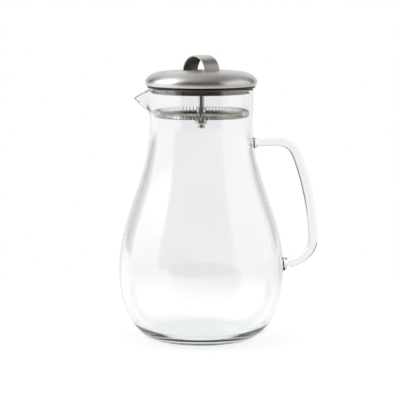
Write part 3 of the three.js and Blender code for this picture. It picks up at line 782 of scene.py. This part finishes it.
def long_brushed_steel():
    """Stainless steel strip, brushed along its length before it was bent: a straight grain that
    runs over the arch. Its inside is painted darker and browner: painted shade and a painted
    reflection of the dark room."""
    material, tree = finish_of("long_brushed_stainless_steel")
    turn = math.radians(STRAP_TURN)
    place = node(tree, "TexCoord").outputs["Object"]
    turned = node(tree, "Mapping", (), {"Vector": place, "Rotation": (0, 0, -turn)})
    split = node(tree, "SeparateXYZ", (), {0: turned.outputs[0]}).outputs
    # Grain lines 0.3 mm apart, where real ones are 0.1 mm apart, and 20 mm long
    grain_places = [
        node(tree, "Math", {"operation": "MULTIPLY"}, {0: split[i], 1: 1 / (size * MM)}).outputs[0]
        for i, size in enumerate((20, 0.3, 20))
    ]
    grain_place = node(tree, "CombineXYZ", (), dict(enumerate(grain_places))).outputs[0]
    lines = {"Vector": grain_place, "Scale": 1, "Detail": 3, "Roughness": 0.65}
    grain = node(tree, "TexNoise", (), lines).outputs[0]
    brushed = node(tree, "Mix", COLOURS, {0: grain, 6: linear("#a9a8a4"), 7: linear("#dcdbd8")})
    # Painted shade: the inside of the arch is coloured darker and browner, as a painted reflection
    # of the dark room
    painted_inside_shade = node(tree, "Mix", COLOURS, {0: grain, 6: linear("#6d655c"), 7: linear("#8a8178")})
    # The inside of the arch, which gets the painted shade, is what lies nearer to its middle than
    # the middle of the sheet
    centre = (CROWN_HEIGHT - STRAP_SINK) * MM
    rise = node(tree, "Math", {"operation": "SUBTRACT"}, {0: split[2], 1: centre}).outputs[0]
    arch_place = node(tree, "CombineXYZ", (), {0: split[0], 1: 0, 2: rise}).outputs[0]
    arch_radius = node(tree, "VectorMath", {"operation": "LENGTH"}, {0: arch_place})
    inner = (STRAP_OUTER_RADIUS - STRAP_THICKNESS + 0.1) * MM
    nearer = {0: arch_radius.outputs["Value"], 1: inner}
    inside = node(tree, "Math", {"operation": "LESS_THAN"}, nearer).outputs[0]
    grain_and_painted_shade = {0: inside, 6: brushed.outputs[2], 7: painted_inside_shade.outputs[2]}
    colour = node(tree, "Mix", COLOURS, grain_and_painted_shade)
    roughness = node(tree, "MapRange", (), {0: grain, 1: 0.25, 2: 0.75, 3: 0.34, 4: 0.5})
    bump = node(tree, "Bump", (), {"Height": grain, "Strength": 0.35, "Distance": 0.015 * MM})
    breadth = node(tree, "VectorTransform", TO_WORLD, {0: (-math.sin(turn), math.cos(turn), 0)})
    steel = node(tree, "BsdfPrincipled", (), {
        "Base Color": colour.outputs[2], "Metallic": 1, "Roughness": roughness.outputs[0],
        "Anisotropic": 1, "Normal": bump.outputs[0], "Tangent": breadth.outputs[0],
    })
    node(tree, "OutputMaterial", (), {"Surface": steel.outputs[0]})
    return material


def drawn_steel(name, dark, light, low, high, spacing):
    """Stainless steel without a brushed grain, drawn, turned or pressed: clean and bright, with
    faint marks from the tool that run round it. Real marks are some hundredths of a millimetre
    apart. They are drawn wider apart, by a spacing in millimetres, so that some show."""
    material, tree = finish_of(name)
    place = node(tree, "TexCoord").outputs["Object"]
    height = node(tree, "SeparateXYZ", (), {0: place}).outputs[2]
    rings = node(tree, "Math", {"operation": "MULTIPLY"}, {0: height, 1: 1 / (spacing * MM)})
    ring_place = node(tree, "CombineXYZ", (), {0: 0, 1: 0, 2: rings.outputs[0]}).outputs[0]
    marks = node(tree, "TexNoise", (), {"Vector": ring_place, "Scale": 1, "Detail": 2}).outputs[0]
    stain = node(tree, "TexNoise", (), {"Vector": place, "Scale": 160, "Detail": 2}).outputs[0]
    colour = node(tree, "Mix", COLOURS, {0: stain, 6: linear(dark), 7: linear(light)})
    roughness = node(tree, "MapRange", (), {0: marks, 1: 0.25, 2: 0.75, 3: low, 4: high})
    bump = node(tree, "Bump", (), {"Height": marks, "Strength": 0.2, "Distance": 0.01 * MM})
    steel = node(tree, "BsdfPrincipled", (), {
        "Base Color": colour.outputs[2], "Metallic": 1, "Roughness": roughness.outputs[0],
        "Normal": bump.outputs[0],
    })
    node(tree, "OutputMaterial", (), {"Surface": steel.outputs[0]})
    return material


def moulded_silicone():
    """Black silicone rubber, moulded: near black with a soft sheen and a faint dusty bloom."""
    material, tree = finish_of("moulded_black_silicone")
    place = node(tree, "TexCoord").outputs["Object"]
    # The mould's grain is finer than the 0.8 mm it is drawn at, so that it shows
    texture = {"Vector": place, "Scale": 1 / (0.8 * MM), "Detail": 2}
    grain = node(tree, "TexNoise", (), texture).outputs[0]
    dust = {"Vector": place, "Scale": 1 / (14 * MM), "Detail": 3}
    bloom = node(tree, "TexNoise", (), dust).outputs[0]
    colour = node(tree, "Mix", COLOURS, {0: bloom, 6: linear("#0a0a0b"), 7: linear("#131314")})
    roughness = node(tree, "MapRange", (), {0: bloom, 1: 0.3, 2: 0.7, 3: 0.3, 4: 0.4})
    bump = node(tree, "Bump", (), {"Height": grain, "Strength": 0.15, "Distance": 0.02 * MM})
    # The skirt is wiped by the glass, and is glossier than the lip. The coat's high index stands
    # for the sheen of skirt and glass wall together, where the two touch.
    height = node(tree, "SeparateXYZ", (), {0: place}).outputs[2]
    reach = {0: height, 1: (GLASS_HEIGHT - 0.4) * MM, 2: GLASS_HEIGHT * MM, 3: 1, 4: 0}
    wiped = node(tree, "MapRange", (), reach)
    rubber = node(tree, "BsdfPrincipled", (), {
        "Base Color": colour.outputs[2], "Roughness": roughness.outputs[0], "IOR": 1.43,
        "Coat Weight": wiped.outputs[0], "Coat Roughness": 0.1, "Coat IOR": 2.4,
        "Normal": bump.outputs[0],
    })
    node(tree, "OutputMaterial", (), {"Surface": rubber.outputs[0]})
    return material


GLASS = borosilicate_glass()
ROUND_BRUSHED = round_brushed_steel()
LONG_BRUSHED = long_brushed_steel()
BRIGHT = drawn_steel("drawn_stainless_steel", "#c4c3c0", "#d6d5d2", 0.12, 0.2, 0.4)
WIRE = drawn_steel("spring_stainless_wire", "#cdccc8", "#e0dfdb", 0.14, 0.22, 0.5)
PRESSED = drawn_steel("pressed_stainless_sheet", "#a8a6a1", "#bdbbb7", 0.22, 0.32, 1.2)
PUNCHED = drawn_steel("punched_stainless_sheet", "#d0cfcb", "#e0dfdb", 0.2, 0.28, 1.5)
SILICONE = moulded_silicone()


def dress(piece, body, material, slot, *nodes):
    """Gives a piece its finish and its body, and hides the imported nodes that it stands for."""
    piece.data.materials.clear()
    piece.data.materials.append(material)
    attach(piece, body)
    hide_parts(*nodes)


dress(pitcher_glass(), "vessel", GLASS, "clear_glass", "glass_body", "glass_handle")
dress(lid_dome(), "lid", ROUND_BRUSHED, "brushed_steel", "lid_dome")
dress(lid_strap(), "lid", LONG_BRUSHED, "brushed_steel", "lid_strap")
dress(lid_pan(), "lid", PRESSED, "bright_steel", "lid_pan")
dress(seal_ring(), "lid", SILICONE, "black_silicone", "seal_ring")
dress(strainer_rod(), "lid", BRIGHT, "bright_steel", "strainer_rod")
hub_foot = PLATE_FLOOR + PLATE_SHEET + SEAT_CLEARANCE
washer = bevelled_ring("washer", WASHER_RADIUS, HUB_TOP, WASHER_TOP, 0.2)
dress(washer, "lid", BRIGHT, "bright_steel", "rod_washer")
hub = bevelled_ring("hub", HUB_RADIUS, hub_foot, HUB_TOP, 0.4)
dress(hub, "lid", BRIGHT, "bright_steel", "strainer_hub")
spacer = bevelled_ring("spacer", HUB_RADIUS, SPACER_FOOT, PLATE_FLOOR - SEAT_CLEARANCE, 0.4)
dress(spacer, "lid", BRIGHT, "bright_steel", "hub_spacer")
dress(strainer_plate(), "lid", PUNCHED, "bright_steel", "strainer_plate")
dress(coil_spring(), "lid", WIRE, "bright_steel", "coil_spring")
dress(retaining_nut(), "nut", BRIGHT, "bright_steel", "retaining_nut")
# The boss inside the lid keeps its solid and gets the rod's finish
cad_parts["rod_boss"].data.materials.clear()
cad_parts["rod_boss"].data.materials.append(BRIGHT)


# Studio: a pale table before a white backdrop, and a large softbox on either side. The room on the
# camera's side is dark. Lamps light what is matt. Metal and glass see the softboxes as soft-edged
# patches of the air, so that their edges stay soft.

WHITE = (1, 1, 1, 1)
ROOM = linear("#5a4f46")
SIDES = linear("#4c4946")
BACKDROP = linear("#f6f6f7")
BACKDROP_EDGE = linear("#cfcfd1")
AIR_AS_LIGHT = linear("#959595")
# From the left to the right
OVERHEAD = (linear("#e0dfdd"), linear("#a8a7a5"))
# The table as metal and glass see it is painted light: brighter on the left, where the left softbox
# lights it
TABLE = ((1.2, 1.2, 1.2, 1), linear("#dddbd8"))
# From the foot to the top
LEFT_SOFTBOX = ((1.4, 1.4, 1.4, 1), (2.9, 2.9, 2.9, 1))
RIGHT_SOFTBOX = ((0.98, 0.95, 0.9, 1), (1.25, 1.21, 1.14, 1))
# A softbox's ends towards the middle, the camera's side, the backdrop and the top. Each is a soft
# edge: where the softbox begins and where it is full
LEFT_ENDS = ((0.05, -0.05), (-0.54, -0.38), (0.54, 0.4), (1.03, 0.8))
RIGHT_ENDS = ((-0.05, 0.05), (-0.74, -0.57), (0.62, 0.5), (0.9, 0.6))
FLOOR_RADIUS = 0.9
# In metres: how far from the pitcher the lit table goes over into white, and where the table that
# metal and glass see begins in front of the pitcher
LIT_TABLE_END = (0.14, 0.4)
TABLE_FRONT = (-0.8, -0.55)


def share_inside(tree, *edges):
    """How far something lies inside soft edges, from 0 to 1. An edge is what is measured, where the
    inside begins and where it is full."""
    share = 1
    for measured, begins, full in edges:
        soft = {0: measured, 1: begins, 2: full}
        step = node(tree, "MapRange", {"interpolation_type": "SMOOTHSTEP"}, soft).outputs[0]
        share = node(tree, "Math", {"operation": "MULTIPLY"}, {0: share, 1: step}).outputs[0]
    return share


def patched(tree, colour, patch, *edges):
    """A colour with a patch of another one over it, inside soft edges."""
    layers = {0: share_inside(tree, *edges), 6: colour, 7: patch}
    return node(tree, "Mix", COLOURS, layers).outputs[2]


def kinds_of_ray(tree):
    """What the Light Path tells, and 1 for a ray that metal mirrored or that came through glass."""
    path = node(tree, "LightPath").outputs
    either = {0: path["Is Glossy Ray"], 1: path["Is Transmission Ray"]}
    return path, node(tree, "Math", {"operation": "MAXIMUM"}, either).outputs[0]


def heading_of(tree, way):
    """Which way something lies, as seen from above: how far to the right, and how far away from the
    camera's side, where -1 is that side, 0 is left or right and 1 is the backdrop."""
    level = node(tree, "VectorMath", {"operation": "MULTIPLY"}, {0: way, 1: (1, 1, 0)})
    heading = node(tree, "VectorMath", {"operation": "NORMALIZE"}, {0: level.outputs[0]})
    turned = node(tree, "SeparateXYZ", (), {0: heading.outputs[0]})
    return turned.outputs[0], turned.outputs[1]


def table_seen(tree, side, turn):
    """The table as metal and glass see it: painted light, brighter on the left where the stronger
    left softbox lights it, and white before the backdrop.
    """
    lit = patched(tree, *TABLE, (side, -0.8, 0.8))
    return patched(tree, lit, BACKDROP, (turn, 0.6, 0.95))


def studio_floor():
    """A matt white table top. Near the pitcher it is lit and holds its shadow, and further out it
    goes over into the white of the backdrop. Metal and glass see it end in front of the pitcher."""
    bpy.ops.object.select_all(action="DESELECT")
    bpy.ops.mesh.primitive_circle_add(
        vertices=96, radius=FLOOR_RADIUS, fill_type="NGON", location=(0, 0, 0)
    )
    floor = bpy.context.object
    floor.name = floor.data.name = "floor"
    material, tree = finish_of("matt_white_floor")
    place = node(tree, "TexCoord").outputs["Object"]
    distance = node(tree, "VectorMath", {"operation": "LENGTH"}, {0: place}).outputs["Value"]
    depth = node(tree, "SeparateXYZ", (), {0: place}).outputs[1]
    far = share_inside(tree, (distance, *LIT_TABLE_END))
    there = share_inside(tree, (depth, *TABLE_FRONT))
    paint = node(tree, "BsdfDiffuse", (), {"Color": linear("#d6d6d6")}).outputs[0]
    glow = node(tree, "Emission", (), {"Color": linear("#c4c4c4")}).outputs[0]
    table = node(tree, "AddShader", (), {0: paint, 1: glow}).outputs[0]
    white = node(tree, "Emission", (), {"Color": WHITE}).outputs[0]
    seen = node(tree, "MixShader", (), {0: far, 1: table, 2: white}).outputs[0]
    further = table_seen(tree, *heading_of(tree, place))
    further = node(tree, "Emission", (), {"Color": further}).outputs[0]
    mirrored = node(tree, "MixShader", (), {0: far, 1: table, 2: further}).outputs[0]
    gone = node(tree, "BsdfTransparent").outputs[0]
    mirrored = node(tree, "MixShader", (), {0: there, 1: gone, 2: mirrored}).outputs[0]
    path, bounced = kinds_of_ray(tree)
    shown = node(tree, "MixShader", (), {0: bounced, 1: paint, 2: mirrored}).outputs[0]
    shown = node(tree, "MixShader", (), {0: path["Is Camera Ray"], 1: shown, 2: seen})
    node(tree, "OutputMaterial", (), {"Surface": shown.outputs[0]})
    floor.data.materials.append(material)


def studio_air():
    """White all round for the camera. Metal and glass see the backdrop, the softboxes, the dark
    room and the grey air overhead. As light it is a plain grey."""
    world = bpy.data.worlds.new("studio")
    scene.world = world
    world.use_nodes = True
    tree = world.node_tree
    tree.nodes.clear()
    way = node(tree, "TexCoord").outputs["Generated"]
    split = node(tree, "SeparateXYZ", (), {0: way}).outputs
    up = split[2]
    side, turn = heading_of(tree, way)
    overhead = patched(tree, *OVERHEAD, (split[0], -0.5, 0.4))
    room = patched(tree, ROOM, SIDES, (turn, 0, 0.5))
    room = patched(tree, room, overhead, (up, 0.72, 1.03))
    for light, ends in ((LEFT_SOFTBOX, LEFT_ENDS), (RIGHT_SOFTBOX, RIGHT_ENDS)):
        softbox = patched(tree, *light, (up, 0.18, 0.5))
        edges = [(measured, *end) for measured, end in zip((side, turn, turn, up), ends)]
        room = patched(tree, room, softbox, *edges)
    backdrop = patched(tree, BACKDROP_EDGE, BACKDROP, (turn, 0.82, 0.99))
    backdrop = patched(tree, backdrop, overhead, (up, 0.38, 0.88))
    above = patched(tree, room, backdrop, (turn, 0.76, 0.83))
    below = patched(tree, ROOM, table_seen(tree, side, turn), (turn, -0.76, -0.6))
    mirrored = patched(tree, below, above, (up, -0.07, 0))
    path, bounced = kinds_of_ray(tree)
    # What lies straight behind the glass is white on the camera's side too, as round the glass
    through = (path["Is Transmission Ray"], 0, 1), (path["Glossy Depth"], 1, 0), (turn, -0.2, -0.5)
    mirrored = patched(tree, mirrored, BACKDROP, *through)
    shown = patched(tree, AIR_AS_LIGHT, mirrored, (bounced, 0, 1))
    shown = patched(tree, shown, WHITE, (path["Is Camera Ray"], 0, 1))
    background = node(tree, "Background", (), {"Color": shown, "Strength": 1})
    node(tree, "OutputWorld", (), {"Surface": background.outputs[0]})


def lamp(name, place, aim, width, height, power):
    """A large soft lamp that faces a point and lights what is matt."""
    bpy.ops.object.light_add(type="AREA", location=place)
    made = bpy.context.object
    made.name = name
    made.data.shape = "RECTANGLE"
    made.data.size, made.data.size_y = width, height
    made.data.energy = power
    made.rotation_euler = (Vector(aim) - Vector(place)).to_track_quat("-Z", "Y").to_euler()
    made.visible_camera = made.visible_glossy = made.visible_transmission = False


studio_floor()
studio_air()
lamp("left_softbox", (-1.3, 0.09, 0.95), (0, 0, 0.3), 1.9, 1.3, 12.5)
lamp("right_softbox", (1.3, 0, 0.95), (0, 0, 0.3), 2, 1.3, 7)
lamp("overhead_softbox", (0, 0.1, 1.7), (0, 0, 0.1), 1.2, 1.2, 6)
